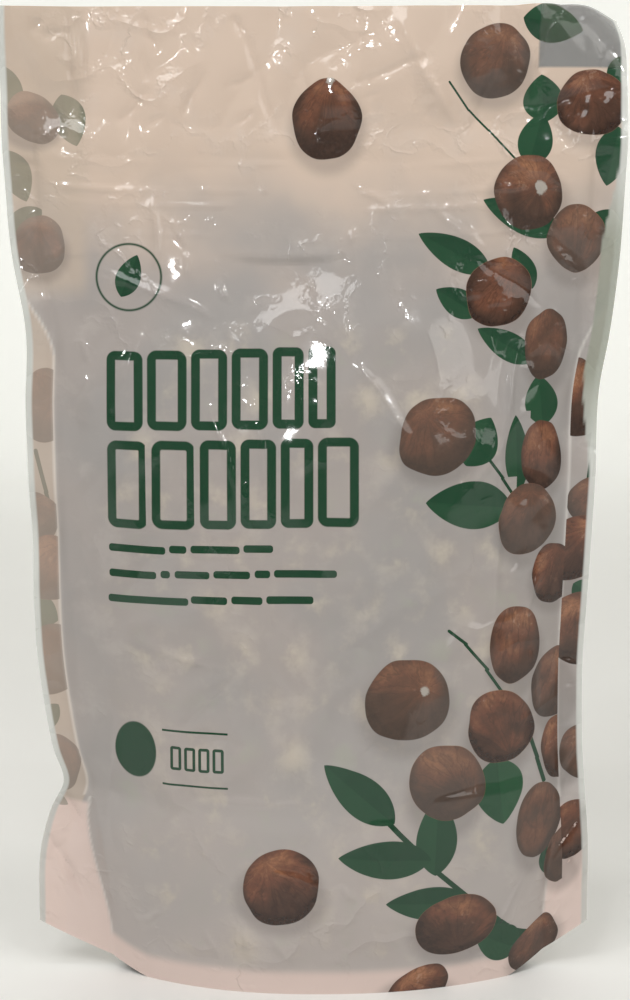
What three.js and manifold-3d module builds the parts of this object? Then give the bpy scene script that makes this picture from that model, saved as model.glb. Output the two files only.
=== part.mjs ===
// A sealed stand-up pouch of hazelnut kernels, in millimetres, +Z up, front towards -Y.
// Two film panels are sealed to each other down both sides and across the top. A third film is
// folded up between them as the base gusset, so that the pouch stands on its front and back bottom
// edges. A press-to-close zip runs across the inside, and loose kernels fill the pouch below it.
// The origin is on the surface that the pouch stands on, under the middle of its bounding box.
import * as THREE from "three";
import { mergeVertices } from "three/addons/utils/BufferGeometryUtils.js";
import Module from "manifold-3d";

// Driving dimensions.
const WIDTH = 160; // flat film, side edge to side edge
const HEIGHT = 252; // bottom edge to top edge
const SIDE_SEAL = 8;
const BASE_SEAL = 8;
const GUSSET_FOLD = 42; // height of the gusset's fold at the side seals
const FILM = 0.3;
const LAYER_GAP = 0.3; // between films that are sealed face to face
const MID_GAP = 0.1; // from the middle plane to the first film
const ZIP_HEIGHT = 206;
const ZIP_FLANGE = 18;
const ZIP_GAP = 0.4; // from a zip strip to the panel it is sealed to
const KERNEL_RADIUS = 7;
const FILL_HEIGHT = 178; // top of the kernels

const HALF_WIDTH = WIDTH / 2;
const SEAL_LINE = HALF_WIDTH - SIDE_SEAL; // where the side seals begin, from the middle

const { lerp, smoothstep } = THREE.MathUtils;

// How far a share has gone past a limit, from 0 there to 1 at the end.
const beyond = (share, limit) => Math.max(0, share - limit) / (1 - limit);

// A smooth curve through [position, value] pairs.
function profile(pairs) {
  const curve = new THREE.CubicInterpolant(
    pairs.map(([position]) => position),
    pairs.map(([, value]) => value),
    1,
  );
  return (position) => curve.evaluate(position)[0];
}

// Half the pouch's thickness on its centre line, by height.
const halfThickness = profile([
  [0, 21],
  [42, 24.5],
  [103, 20.5],
  [155, 15],
  [188, 7],
  [213, 2],
  [242, 0],
  [HEIGHT, 0],
]);
// The films draw in at the sides where the pouch is full. The left and right edges differ a little.
const leftEdge = profile([
  [0, 73.5],
  [24, 72.8],
  [38, 69.9],
  [48, 66.5],
  [60, 68.8],
  [84, 72.8],
  [110, 74],
  [150, 74.7],
  [172, 74.5],
  [190, 78],
  [206, 79.4],
  [232, 80],
  [HEIGHT, 80],
]);
const rightEdge = profile([
  [0, 72.5],
  [24, 72.3],
  [45, 71.2],
  [70, 70.4],
  [100, 71.2],
  [132, 72.5],
  [155, 73.6],
  [168, 76],
  [184, 77.8],
  [206, 79],
  [232, 79.6],
  [HEIGHT, 80],
]);

// How full the pouch is across its width: 1 in the middle, 0 from the seal line outwards.
const BULGE_POWER = 2.3;
const fullness = (x, power) => 1 - Math.min(1, Math.abs(x) / SEAL_LINE) ** power;

// From the middle plane to a panel's inner face. The folded gusset lies between the panels low down,
// and the closed zip holds them apart higher up, almost as far as the side seals.
const ABOVE_FOLD = { from: GUSSET_FOLD + 1, to: GUSSET_FOLD + 7 };
const ZIP_ROOM = { depth: 1.9, power: 40, from: ZIP_FLANGE / 2, to: 22 };
function innerDepth(x, z) {
  const folded = MID_GAP + FILM + LAYER_GAP;
  const sealed = lerp(folded, MID_GAP, smoothstep(z, ABOVE_FOLD.from, ABOVE_FOLD.to));
  const bulge = Math.max(0, halfThickness(z)) * fullness(x, BULGE_POWER);
  const nearZip = 1 - smoothstep(Math.abs(z - ZIP_HEIGHT), ZIP_ROOM.from, ZIP_ROOM.to);
  return sealed + Math.max(bulge, ZIP_ROOM.depth * fullness(x, ZIP_ROOM.power) * nearZip);
}

// The top right corner is bent back about a slanting line.
const CORNER = {
  through: new THREE.Vector2(50, HEIGHT),
  away: new THREE.Vector2(23, 29).normalize(), // across the line, towards the corner
  radius: 12,
  angle: Math.PI / 3,
};

function bendCorner(point) {
  const { through, away, radius, angle } = CORNER;
  const reach = (point.x - through.x) * away.x + (point.z - through.y) * away.y;
  if (reach <= 0) return point;
  const turned = Math.min(reach / radius, angle);
  const straight = reach - turned * radius;
  const bent = (radius - point.y) * Math.sin(turned) + straight * Math.cos(turned) - reach;
  point.x += bent * away.x;
  point.z += bent * away.y;
  point.y = radius - (radius - point.y) * Math.cos(turned) + straight * Math.sin(turned);
  return point;
}

// Carries a point of the evenly wide pouch to where it lies in the filled one: drawn in at the
// sides, with side seals that wave, bottom corners that lift off the floor and one bent corner.
const WAVE = { depth: 2.2, stretch: 15, left: 0.4, right: 2.6, from: 45, power: 8 };
const CORNER_LIFT = { height: 13, left: 0.6, right: 0.7, power: 1.2, upTo: 70 };
function settle(x, y, z) {
  const edge = x < 0 ? leftEdge(z) : rightEdge(z);
  const outward = Math.abs(x) / HALF_WIDTH;
  const phase = x < 0 ? WAVE.left : WAVE.right;
  const waviness = WAVE.depth * smoothstep(z, 0, WAVE.from) * outward ** WAVE.power;
  const wave = waviness * Math.sin(z / WAVE.stretch + phase);
  const low = 1 - smoothstep(z, 0, CORNER_LIFT.upTo);
  const raised = beyond(outward, x < 0 ? CORNER_LIFT.left : CORNER_LIFT.right);
  const lift = CORNER_LIFT.height * raised ** CORNER_LIFT.power * low;
  return bendCorner(new THREE.Vector3((x * edge) / HALF_WIDTH, y + wave, z + lift));
}

// A closed solid from two facing grids of points: point(column, row, face), with face 0 or 1.
function sheet(columns, rows, point) {
  const positions = [];
  const indices = [];
  const at = (column, row, face) => (face * rows + row) * columns + column;
  for (const face of [0, 1])
    for (let row = 0; row < rows; row++)
      for (let column = 0; column < columns; column++)
        positions.push(...point(column, row, face).toArray());
  const quad = (a, b, c, d) => indices.push(a, b, c, a, c, d);
  for (let row = 0; row < rows - 1; row++)
    for (let column = 0; column < columns - 1; column++) {
      const [right, above] = [column + 1, row + 1];
      quad(at(column, row, 0), at(right, row, 0), at(right, above, 0), at(column, above, 0));
      quad(at(column, row, 1), at(column, above, 1), at(right, above, 1), at(right, row, 1));
    }
  for (let column = 0; column < columns - 1; column++)
    for (const [row, from, to] of [[0, column, column + 1], [rows - 1, column + 1, column]])
      quad(at(from, row, 1), at(to, row, 1), at(to, row, 0), at(from, row, 0));
  for (let row = 0; row < rows - 1; row++)
    for (const [column, from, to] of [[0, row + 1, row], [columns - 1, row, row + 1]])
      quad(at(column, from, 1), at(column, to, 1), at(column, to, 0), at(column, from, 0));
  const geometry = new THREE.BufferGeometry();
  geometry.setAttribute("position", new THREE.Float32BufferAttribute(positions, 3));
  geometry.setIndex(indices);
  return geometry;
}

// Stations across the width: the two side seals, and closer together next to them.
const INNER_STEPS = 16;
const CROWDING = 1.2; // how much closer the stations get next to the side seals
const stations = [-HALF_WIDTH];
for (let step = 0; step <= INNER_STEPS; step++) {
  const share = (2 * step) / INNER_STEPS - 1;
  stations.push((SEAL_LINE * Math.sin(share * CROWDING)) / Math.sin(CROWDING));
}
stations.push(HALF_WIDTH);

// Stations up the height, which meet the base seal, the gusset's fold and the zip's flanges.
const heights = [
  [0, BASE_SEAL, 18, 30, GUSSET_FOLD, 52, 64, 78, 93, 108, 124, 140, 155, 168, 181],
  [ZIP_HEIGHT - ZIP_FLANGE / 2, ZIP_HEIGHT, ZIP_HEIGHT + ZIP_FLANGE / 2],
  [226, 234, 243, HEIGHT],
].flat();

// side is -1 for the front panel and 1 for the back one. Face 0 is the front panel's outside.
const panel = (side) =>
  sheet(stations.length, heights.length, (column, row, face) => {
    const [x, z] = [stations[column], heights[row]];
    const outside = (face === 0) === side < 0;
    return settle(x, side * (innerDepth(x, z) + (outside ? FILM : 0)), z);
  });

// The seam between a panel and the gusset rises from the base seal to the fold at the side seals.
const SEAM_POWER = 8;
const seamHeight = (share) => BASE_SEAL + (GUSSET_FOLD - BASE_SEAL) * share ** SEAM_POWER;

// Along its middle the gusset lies on the floor under the kernels' weight, over a flat patch, and
// rises from there to its fold at the side seals.
const FLAT_ALONG = 0.33; // half the patch's length, as a share of the distance to the side seals
const FLAT_ACROSS = 0.34; // half its width, as a share of the distance to the base seals
const FOLD_POWER = 2.2;
const SPAN_POWER = 1.6;
const foldHeight = (share) =>
  FILM + (GUSSET_FOLD - FILM) * beyond(share, FLAT_ALONG) ** FOLD_POWER;

// The gusset's top side at a distance along the pouch and across it, both as shares.
function gussetHeight(along, across) {
  const [seam, fold] = [seamHeight(along), foldHeight(along)];
  return fold + (seam - fold) * beyond(Math.min(1, Math.abs(across)), FLAT_ACROSS) ** SPAN_POWER;
}

// Points across the gusset at x, from the front bottom edge up and over to the back bottom edge.
const LEG_POINTS = 3;
const SPAN_POINTS = 7;
const TUCK = 0.18; // the span's inner points are this far inside the legs
function gussetLine(x) {
  const share = Math.min(1, Math.abs(x) / SEAL_LINE);
  const seam = seamHeight(share);
  const depthAt = (z) => innerDepth(x, z) - LAYER_GAP - FILM / 2;
  const leg = [];
  for (let step = 0; step < LEG_POINTS; step++) {
    const z = ((seam - FILM) * step) / LEG_POINTS;
    leg.push(new THREE.Vector2(-depthAt(z), z));
  }
  const span = [];
  for (let step = 0; step < SPAN_POINTS; step++) {
    const across = (2 * step) / (SPAN_POINTS - 1) - 1;
    const reach = depthAt(seam) - (Math.abs(across) < 1 ? TUCK : 0);
    span.push(new THREE.Vector2(across * reach, gussetHeight(share, across) - FILM / 2));
  }
  return [...leg, ...span, ...leg.map((p) => new THREE.Vector2(-p.x, p.y)).reverse()];
}

// The gusset's line moved sideways by half the film, mitred at its corners.
const LEAST_MITRE = 0.6;
function beside(line, index, distance) {
  const before = line[Math.max(0, index - 1)];
  const after = line[Math.min(line.length - 1, index + 1)];
  const normalOf = (a, b) => new THREE.Vector2(a.y - b.y, b.x - a.x).normalize();
  const here = line[index];
  const first = index > 0 ? normalOf(before, here) : normalOf(here, after);
  const second = index < line.length - 1 ? normalOf(here, after) : first;
  const mitre = first.clone().add(second).normalize();
  const point = here.clone().addScaledVector(mitre, distance / Math.max(LEAST_MITRE, mitre.dot(first)));
  const onFloor = index === 0 || index === line.length - 1;
  if (onFloor) point.y = 0;
  return point;
}

function gusset() {
  const lines = stations.map(gussetLine);
  return sheet(stations.length, lines[0].length, (column, row, face) => {
    const point = beside(lines[column], row, (face === 0 ? FILM : -FILM) / 2);
    return settle(stations[column], point.x, point.y);
  });
}

// A strip sealed to a panel's inside, across the pouch. outline holds its section as [distance in
// from the panel, height above the zip's middle] pairs.
const zipStations = stations.slice(2, -2);
function strip(outline, side) {
  const count = outline.length;
  const positions = [];
  const indices = [];
  for (const x of zipStations)
    for (const [inward, up] of outline) {
      const z = ZIP_HEIGHT + up;
      const depth = innerDepth(x, z) - ZIP_GAP - inward;
      positions.push(...settle(x, side * depth, z).toArray());
    }
  const steps = zipStations.length - 1;
  for (let step = 0; step < steps; step++)
    for (let k = 0; k < count; k++) {
      const [a, b] = [step * count + k, step * count + ((k + 1) % count)];
      indices.push(a, b, b + count, a, b + count, a + count);
    }
  const last = steps * count;
  const caps = THREE.ShapeUtils.triangulateShape(outline.map(([u, v]) => new THREE.Vector2(u, v)), []);
  for (const [a, b, c] of caps) {
    indices.push(a, c, b);
    indices.push(last + a, last + b, last + c);
  }
  if (side > 0) indices.reverse(); // the back strip is a mirror image, so its faces turn over
  const geometry = new THREE.BufferGeometry();
  geometry.setAttribute("position", new THREE.Float32BufferAttribute(positions, 3));
  geometry.setIndex(indices);
  return geometry;
}

const FLANGE = 0.25;
const HALF_FLANGE = ZIP_FLANGE / 2;
// One rib on the front strip presses between two lips on the back strip.
const RIB = { height: 2.6, half: 0.35 };
const LIP = { height: 1.9, inner: 0.8, outer: 1.7 };
const ribOutline = [
  [0, -HALF_FLANGE],
  [FLANGE, -HALF_FLANGE],
  [FLANGE, -RIB.half],
  [RIB.height, -RIB.half],
  [RIB.height, RIB.half],
  [FLANGE, RIB.half],
  [FLANGE, HALF_FLANGE],
  [0, HALF_FLANGE],
  [0, 0],
];
const grooveOutline = [
  [0, -HALF_FLANGE],
  [FLANGE, -HALF_FLANGE],
  [FLANGE, -LIP.outer],
  [LIP.height, -LIP.outer],
  [LIP.height, -LIP.inner],
  [FLANGE, -LIP.inner],
  [FLANGE, LIP.inner],
  [LIP.height, LIP.inner],
  [LIP.height, LIP.outer],
  [FLANGE, LIP.outer],
  [FLANGE, HALF_FLANGE],
  [0, HALF_FLANGE],
  [0, 0],
];

const MERGE = 1e-4; // points closer than this are one point
const wasm = await Module();
wasm.setup();

function solidOf(geometry) {
  geometry.deleteAttribute("normal");
  geometry.deleteAttribute("uv");
  const merged = mergeVertices(geometry, MERGE);
  return new wasm.Manifold(
    new wasm.Mesh({
      numProp: 3,
      vertProperties: new Float32Array(merged.attributes.position.array),
      triVerts: new Uint32Array(merged.index.array),
    }),
  );
}

function geometryOf(solid) {
  const mesh = solid.getMesh();
  const geometry = new THREE.BufferGeometry();
  geometry.setAttribute("position", new THREE.BufferAttribute(mesh.vertProperties, 3));
  geometry.setIndex(new THREE.BufferAttribute(mesh.triVerts, 1));
  return geometry;
}

// A kernel is round, flat at its base and a little pointed at its tip, on the +Y axis.
const KERNEL_SIDES = 6;
const kernelProfile = [
  [0, -0.9],
  [0.66, -0.68],
  [1, 0],
  [0.6, 0.72],
  [0, 1],
].map(([r, y]) => new THREE.Vector2(r * KERNEL_RADIUS, y * KERNEL_RADIUS));

// A kernel at a point of its row, with two of its widest corners along the row and its tip turned
// about the row.
function kernel(centre, along, turn) {
  const geometry = new THREE.LatheGeometry(kernelProfile, KERNEL_SIDES, Math.PI / 2);
  const toRow = new THREE.Quaternion().setFromUnitVectors(new THREE.Vector3(1, 0, 0), along);
  const tip = new THREE.Quaternion().setFromAxisAngle(new THREE.Vector3(1, 0, 0), turn);
  geometry.applyQuaternion(tip).applyQuaternion(toRow).translate(centre.x, centre.y, centre.z);
  return solidOf(geometry);
}

// Kernels stand in files: one against the front film, one against the back film and, where the
// pouch is deep enough, one between them. A file has one row for each height. The kernels of a row
// are joined where they touch, so that each row is one solid.
const PITCH = 12.9; // from kernel to kernel along a row
const WALK_STEP = 0.02;
const ROW_RISE = 12.8;
const FIRST_ROW = 12.5; // height of the lowest row's kernels
const CLEARANCE = 0.6;
const FILE_GAP = 14.2; // from a file to the next, across the pouch

// From a film's inner face to the centre of a kernel that rests on it, straight across the pouch.
// It grows with the film's slope, which is measured over 1 mm.
function kernelRoom(x, z) {
  const slopeX = innerDepth(x + 0.5, z) - innerDepth(x - 0.5, z);
  const slopeZ = innerDepth(x, z + 0.5) - innerDepth(x, z - 0.5);
  return (KERNEL_RADIUS + CLEARANCE) * Math.hypot(1, slopeX, slopeZ);
}
const kernelDepth = (x, z) => innerDepth(x, z) - kernelRoom(x, z);

// side is -1 for the file at the front film, 1 for the back one and 0 for the one between them, and
// needs is how deep the pouch has to be behind a kernel's centre plane.
const files = [
  { name: "front", shift: 0, side: -1, needs: 0 },
  { name: "back", shift: 0.25, side: 1, needs: FILE_GAP / 2 },
  { name: "middle", shift: 0.5, side: 0, needs: FILE_GAP },
];

// Whether a kernel at x and z is inside the pouch, clear of the gusset and in its own file. The
// gusset is looked up where the kernel's outer part is above it.
const OUTER = { along: KERNEL_RADIUS * 0.6, across: KERNEL_RADIUS * 0.4 };
function fits(file, x, z) {
  const along = Math.min(1, (Math.abs(x) + OUTER.along) / SEAL_LINE);
  const across = (file.side * (kernelDepth(x, z) + OUTER.across)) / innerDepth(x, z);
  const floor = gussetHeight(along, across) + CLEARANCE + KERNEL_RADIUS;
  return kernelDepth(x, z) >= file.needs && z >= floor;
}

const centreAt = (file, x, z) => settle(x, file.side * kernelDepth(x, z), z);

// Steps along a row from its first kernel, a pitch at a time, in one direction.
function walk(file, first, z, direction) {
  const found = [];
  let x = first;
  while (fits(file, x, z)) {
    const centre = centreAt(file, x, z);
    found.push(centre);
    while (centreAt(file, x, z).distanceTo(centre) < PITCH) x += direction * WALK_STEP;
  }
  return found;
}

const TURNS = { kernel: 2.4, row: 1.3, file: 5 }; // how the tips' turns go on, in radians
function kernelRow(file, row) {
  const z = FIRST_ROW + row * ROW_RISE;
  const first = (file.shift + (row % 2) / 2 - 0.5) * PITCH;
  const leftwards = walk(file, first, z, -1);
  const centres = [...leftwards.reverse(), ...walk(file, first, z, 1).slice(1)];
  if (centres.length < 2) return null;
  let solid = null;
  centres.forEach((centre, index) => {
    const before = centres[Math.max(0, index - 1)];
    const after = centres[Math.min(centres.length - 1, index + 1)];
    const turn = index * TURNS.kernel + row * TURNS.row + file.shift * TURNS.file;
    const one = kernel(centre, after.clone().sub(before).normalize(), turn);
    solid = solid ? solid.add(one) : one;
  });
  return geometryOf(solid);
}

const surface = (settings) => new THREE.MeshStandardMaterial({ metalness: 0, ...settings });
const sheer = { transparent: true, opacity: 0.8 };
const film = surface({ color: 0xcfc0b6, roughness: 0.25, ...sheer });
const clearFilm = surface({ color: 0xd6cac2, roughness: 0.3, ...sheer });
const zipPlastic = surface({ color: 0xe6e2dc, roughness: 0.35 });
const kernelSkin = surface({ color: 0x7a4a2c, roughness: 0.6 });

const pouch = new THREE.Group();
function addPiece(name, geometry, material) {
  const mesh = new THREE.Mesh(geometry, material);
  mesh.name = name;
  pouch.add(mesh);
}

addPiece("front_panel", panel(-1), film);
addPiece("back_panel", panel(1), film);
addPiece("base_gusset", gusset(), clearFilm);
addPiece("zip_rib_strip", strip(ribOutline, -1), zipPlastic);
addPiece("zip_groove_strip", strip(grooveOutline, 1), zipPlastic);

const rowCount = Math.floor((FILL_HEIGHT - KERNEL_RADIUS - FIRST_ROW) / ROW_RISE) + 1;
for (const file of files)
  for (let row = 0; row < rowCount; row++) {
    const geometry = kernelRow(file, row);
    const number = String(row + 1).padStart(2, "0");
    if (geometry) addPiece(`kernels_${file.name}_row_${number}`, geometry, kernelSkin);
  }

const box = new THREE.Box3().setFromObject(pouch);
const middle = box.getCenter(new THREE.Vector3());
pouch.position.set(-middle.x, -middle.y, -box.min.z);

export default pouch;
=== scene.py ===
# Looks of a stand-up pouch of hazelnut kernels. Film sizes are in millimetres on the flat film,
# u across from its middle and v up from its bottom edge. Meshes are in metres, front towards -Y.
import math
import random

import bpy
import numpy as np
from mathutils import Matrix, Vector


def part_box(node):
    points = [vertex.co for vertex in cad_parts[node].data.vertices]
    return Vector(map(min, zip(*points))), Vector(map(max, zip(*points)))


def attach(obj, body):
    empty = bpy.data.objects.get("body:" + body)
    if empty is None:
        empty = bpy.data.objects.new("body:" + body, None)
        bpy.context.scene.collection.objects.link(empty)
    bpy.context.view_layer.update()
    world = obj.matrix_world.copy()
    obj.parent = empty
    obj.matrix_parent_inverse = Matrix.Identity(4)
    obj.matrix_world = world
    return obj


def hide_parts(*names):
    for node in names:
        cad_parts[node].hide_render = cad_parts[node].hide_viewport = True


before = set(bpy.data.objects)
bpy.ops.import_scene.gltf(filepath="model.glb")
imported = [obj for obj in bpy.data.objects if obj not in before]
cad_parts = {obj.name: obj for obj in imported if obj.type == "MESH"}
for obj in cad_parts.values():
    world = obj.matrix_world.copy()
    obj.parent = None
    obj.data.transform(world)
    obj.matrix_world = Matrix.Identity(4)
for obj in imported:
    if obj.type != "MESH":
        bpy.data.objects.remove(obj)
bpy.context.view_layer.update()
mm = 0.001
print("frame loaded:", len(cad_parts), "nodes")


# The filled pouch's form, as in the frame but of thinner film. Edges and thickness are (height, value) pairs.
pouch = {
    "width": 160,
    "height": 252,
    "sideSeal": 8,
    "baseSeal": 8,
    "gussetFold": 42,
    "film": 0.12,
    "layerGap": 0.3,
    "midGap": 0.1,
    "aboveFold": (1, 7),
    "zipHeight": 206,
    "zipFlange": 18,
    "zipRoom": {"depth": 1.9, "power": 40, "from": 9, "to": 22},
    "zipSag": 3.0,
    "bulgePower": 2.3,
    "halfThickness": [(0, 21), (42, 24.5), (103, 20.5), (155, 15), (188, 7), (213, 2), (242, 0), (252, 0)],
    "leftEdge": [
        (0, 73.5), (24, 72.8), (38, 69.9), (48, 66.5), (60, 68.8), (84, 72.8), (110, 74),
        (150, 74.7), (172, 74.5), (190, 78), (206, 79.4), (232, 80), (252, 80),
    ],
    "rightEdge": [
        (0, 72.5), (24, 72.3), (45, 71.2), (70, 70.4), (100, 71.2), (132, 72.5),
        (155, 73.6), (168, 76), (184, 77.8), (206, 79), (232, 79.6), (252, 80),
    ],
    "cornerSeal": {"reach": (13, 5), "from": 4, "to": 62, "power": 1.5},  # reach left and right
    "cornerLift": {"height": 13, "from": (0.6, 0.7), "power": 1.2, "upTo": 70},  # shares of the half width
    "sealWave": {"depth": 2.2, "stretch": 15, "phase": (0.4, 2.6), "from": 45, "power": 8},
    "bentCorner": {"through": (50, 252), "away": (23, 29), "radius": 12, "angle": math.pi / 3},
}
halfWidth = pouch["width"] / 2
sealLine = halfWidth - pouch["sideSeal"]


def smoothProfile(pairs):
    # a smooth curve through (place, value) pairs
    places, values = np.array(pairs, float).T
    slopes = np.gradient(values, places)

    def at(x):
        x = np.asarray(x, float)
        i = np.clip(np.searchsorted(places, x, side="right") - 1, 0, len(places) - 2)
        step = places[i + 1] - places[i]
        t = np.clip((x - places[i]) / step, 0, 1)
        rise = (2 * t**3 - 3 * t**2 + 1) * values[i] + (3 * t**2 - 2 * t**3) * values[i + 1]
        return rise + step * ((t**3 - 2 * t**2 + t) * slopes[i] + (t**3 - t**2) * slopes[i + 1])

    return at


halfThickness = smoothProfile(pouch["halfThickness"])
leftEdge = smoothProfile(pouch["leftEdge"])
rightEdge = smoothProfile(pouch["rightEdge"])


def smoothStep(x, low, high):
    t = np.clip((x - low) / (high - low), 0, 1)
    return t * t * (3 - 2 * t)


def beyond(share, limit):
    # how far a share has gone past a limit, from 0 there to 1 at the end
    return np.maximum(0, share - limit) / (1 - limit)


def sealedFrom(u, v):
    # where the bulge ends sideways: the corner seals reach further in at the bottom
    seal = pouch["cornerSeal"]
    share = (1 - smoothStep(v, seal["from"], seal["to"])) ** seal["power"]
    return sealLine - np.where(u < 0, *seal["reach"]) * share


def fullness(u, v):
    return 1 - np.minimum(1, np.abs(u) / sealedFrom(u, v)) ** pouch["bulgePower"]


def innerDepth(u, v):
    # from the middle plane to a panel's inner face
    foldStart, foldEnd = pouch["gussetFold"] + np.array(pouch["aboveFold"])
    folded = pouch["midGap"] + pouch["film"] + pouch["layerGap"]
    sealed = folded + (pouch["midGap"] - folded) * smoothStep(v, foldStart, foldEnd)
    room = pouch["zipRoom"]
    zipBulge = room["depth"] * (1 - np.minimum(1, np.abs(u) / sealLine) ** room["power"])
    nearZip = 1 - smoothStep(np.abs(v - pouch["zipHeight"]), room["from"], room["to"])
    return sealed + np.maximum(np.maximum(0, halfThickness(v)) * fullness(u, v), zipBulge * nearZip)


# The films' waves are a height, a wavelength, a seed and how far they are stretched across. The last four
# are each film's own, and add its seed. Creases run from a start to an end on the filled pouch, with a
# height and a width.
waves = {
    "header": (1.5, 62, 21, 1.3),
    "loose": (0.2, 26, 22, 1.0),
    "headerDents": (0.5, 38, 24, 0.6),
    "seals": (0.5, 30, 23, 3.0),
    "swell": (0.6, 58, 0, 1.0),
    "crinkle": (0.16, 24, 1, 1.4),
    "dents": (0.3, 44, 2, 0.7),
    "sidePleats": (0.25, 16, 3, 1.0),
}
filmSeeds = {"front": 3, "back": 40}
creaseStrength = 1.4
# Heights between which the films' relief comes or goes.
bands = {
    "header": (212, 228),
    "looseFoot": (4, 22),
    "sealFoot": (10, 40),
    "bodyFoot": (3, 20),
    "bodyTop": (205, 218),
    "gussetClear": (50, 65),
    "zipFrom": (180, 190),
    "zipTo": (216, 224),
}
press = {"least": 0.3, "spread": 0.3, "radius": 5.2}  # how kernels press out the film
creases = {
    "shared": [
        ((-63, 252), (-61, 226), 1.0, 0.8), ((-60, 251), (-58, 232), 0.8, 0.8),
        ((-44, 250), (-40, 240), 0.6, 0.9), ((-50, 222), (-42, 232), 0.6, 1.0),
        ((-34, 224), (-28, 236), 0.7, 0.9), ((-20, 250), (-8, 216), 0.7, 1.8),
        ((-5, 240), (2, 222), 0.5, 1.2), ((20, 250), (40, 214), -0.9, 1.8),
        ((8, 232), (30, 240), 0.6, 1.2), ((-78, 214), (-56, 208), 0.9, 1.0),
        ((-76, 222), (-60, 214), 0.7, 1.0), ((46, 236), (38, 218), 0.7, 1.2),
        ((52, 226), (76, 232), 0.9, 1.2), ((60, 250), (54, 226), 0.7, 1.0),
        ((76, 216), (58, 210), 0.8, 1.0), ((76, 196), (66, 176), 0.6, 1.4),
        ((-74, 196), (-66, 170), 0.6, 1.4), ((-70, 50), (-60, 34), 0.8, 1.0),
        ((-72, 30), (-60, 12), 0.6, 1.2), ((70, 60), (60, 38), 0.9, 0.9), ((73, 40), (62, 24), 0.9, 0.8),
        ((66, 34), (72, 6), -0.7, 1.0), ((-66, 22), (-58, 4), 0.5, 1.0), ((71, 28), (60, 8), 0.7, 0.9),
    ],
    "front": [
        ((-41, 205), (-40, 186), 1.0, 0.9), ((-55, 186), (-25, 174), 0.8, 1.0),
        ((0, 214), (22, 200), 0.8, 1.2), ((-27, 152), (-18, 128), 0.7, 0.9),
        ((-14, 148), (-12, 130), 0.6, 0.8), ((10, 164), (24, 144), 0.8, 1.1),
        ((52, 168), (48, 142), 1.2, 1.1), ((48, 144), (46.5, 98), 1.1, 1.0),
        ((67.5, 188), (64, 96), 1.2, 1.0), ((64.5, 100), (65.5, 44), 1.2, 0.9),
        ((-67, 184), (-64.5, 112), 0.8, 1.0), ((-65, 116), (-60, 54), 0.9, 1.0),
        ((-60, 56), (-54, 20), 0.9, 1.0), ((-50, 92), (-20, 84), 0.5, 1.4),
        ((-20, 84), (-34, 70), 0.5, 1.2), ((-52, 72), (-56, 30), 0.7, 1.2),
        ((-30, 19), (-24, 7), 0.6, 0.8), ((-19, 20), (-16, 5), 0.7, 0.8), ((-12, 16), (-4, 6), 0.6, 0.8),
        ((-16, 35), (4, 29), 0.7, 0.9), ((38, 128), (54, 150), 0.6, 1.2),
        ((60, 120), (54, 92), 0.8, 0.8), ((56, 88), (60, 60), 0.8, 0.9), ((30, 12), (52, 8), 0.6, 1.2),
        ((40, 190), (60, 176), -0.7, 1.6), ((26, 205), (44, 190), 0.6, 1.2),
        ((-44, 170), (-52, 150), 0.6, 1.2), ((50, 52), (58, 22), 0.9, 0.9),
        ((58, 30), (44, 10), 0.8, 1.0), ((-48, 14), (-36, 22), 0.6, 1.0),
    ],
    "back": [
        ((-36, 205), (-24, 182), 0.9, 1.2), ((20, 206), (6, 184), 0.8, 1.2),
        ((46, 196), (30, 172), 0.8, 1.4), ((-66, 186), (-62, 110), 0.9, 1.0),
        ((66, 186), (63, 112), 0.9, 1.0), ((-62, 112), (-60, 54), 0.9, 1.0),
        ((63, 112), (60, 54), 0.9, 1.0), ((-60, 56), (-52, 20), 0.9, 1.0),
        ((60, 56), (52, 20), 0.9, 1.0), ((-44, 12), (-12, 20), 0.6, 1.4), ((46, 12), (16, 18), 0.6, 1.4),
        ((-30, 100), (-6, 90), 0.4, 1.4), ((24, 74), (40, 60), 0.4, 1.4),
    ],
}


def ripple(u, v, wavelength, seed, stretch=1.0, sines=26):
    # smooth seeded waviness with a spread of about 1
    rng = np.random.default_rng(seed)
    total = np.zeros(np.broadcast(u, v).shape)
    for _ in range(sines):
        angle, phase = rng.uniform(0, math.pi), rng.uniform(0, 2 * math.pi)
        length = wavelength * rng.uniform(0.7, 1.5)
        total += np.sin(2 * math.pi * (u * math.cos(angle) / stretch + v * math.sin(angle)) / length + phase)
    return total / math.sqrt(sines / 2)


def wavy(u, v, name, filmSeed=0):
    height, wavelength, seed, stretch = waves[name]
    return height * ripple(u, v, wavelength, seed + filmSeed, stretch)


def crease(x, v, start, end, height, width):
    # a sharp ridge along a line that wanders a little, fading out at both ends
    along = np.array(end, float) - np.array(start, float)
    length = np.hypot(*along)
    t = ((x - start[0]) * along[0] + (v - start[1]) * along[1]) / length**2
    off = ((x - start[0]) * along[1] - (v - start[1]) * along[0]) / length
    off = off + 0.25 * width * np.sin(t * 9 + start[0])
    fade = np.clip(np.sin(math.pi * np.clip(t, 0, 1)), 0, 1) ** 0.7
    return creaseStrength * height * fade * np.exp(-np.abs(off) / width)


def smallCreases(seed, count, chance):
    # short creases in seeded places, for the fine crumpling of the film
    rng = np.random.default_rng(seed)
    made = []
    while len(made) < count:
        x, v, turn = rng.uniform(-76, 76), rng.uniform(4, 250), rng.uniform(0, math.tau)
        if rng.uniform() < chance(abs(x) / 76, v / pouch["height"]):
            reach = rng.uniform(3, 10)
            end = (x + reach * math.cos(turn), v + reach * math.sin(turn))
            made.append(((x, v), end, rng.uniform(0.2, 0.5), rng.uniform(0.5, 0.9)))
    return made


def headerAndSeals(x, v):
    return 1 if v > 0.86 or x > 0.9 else 0


def topAndSides(x, v):
    return 0.15 + 0.85 * (v > 0.66) + (x > 0.7) if v < 0.86 else 0


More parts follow.
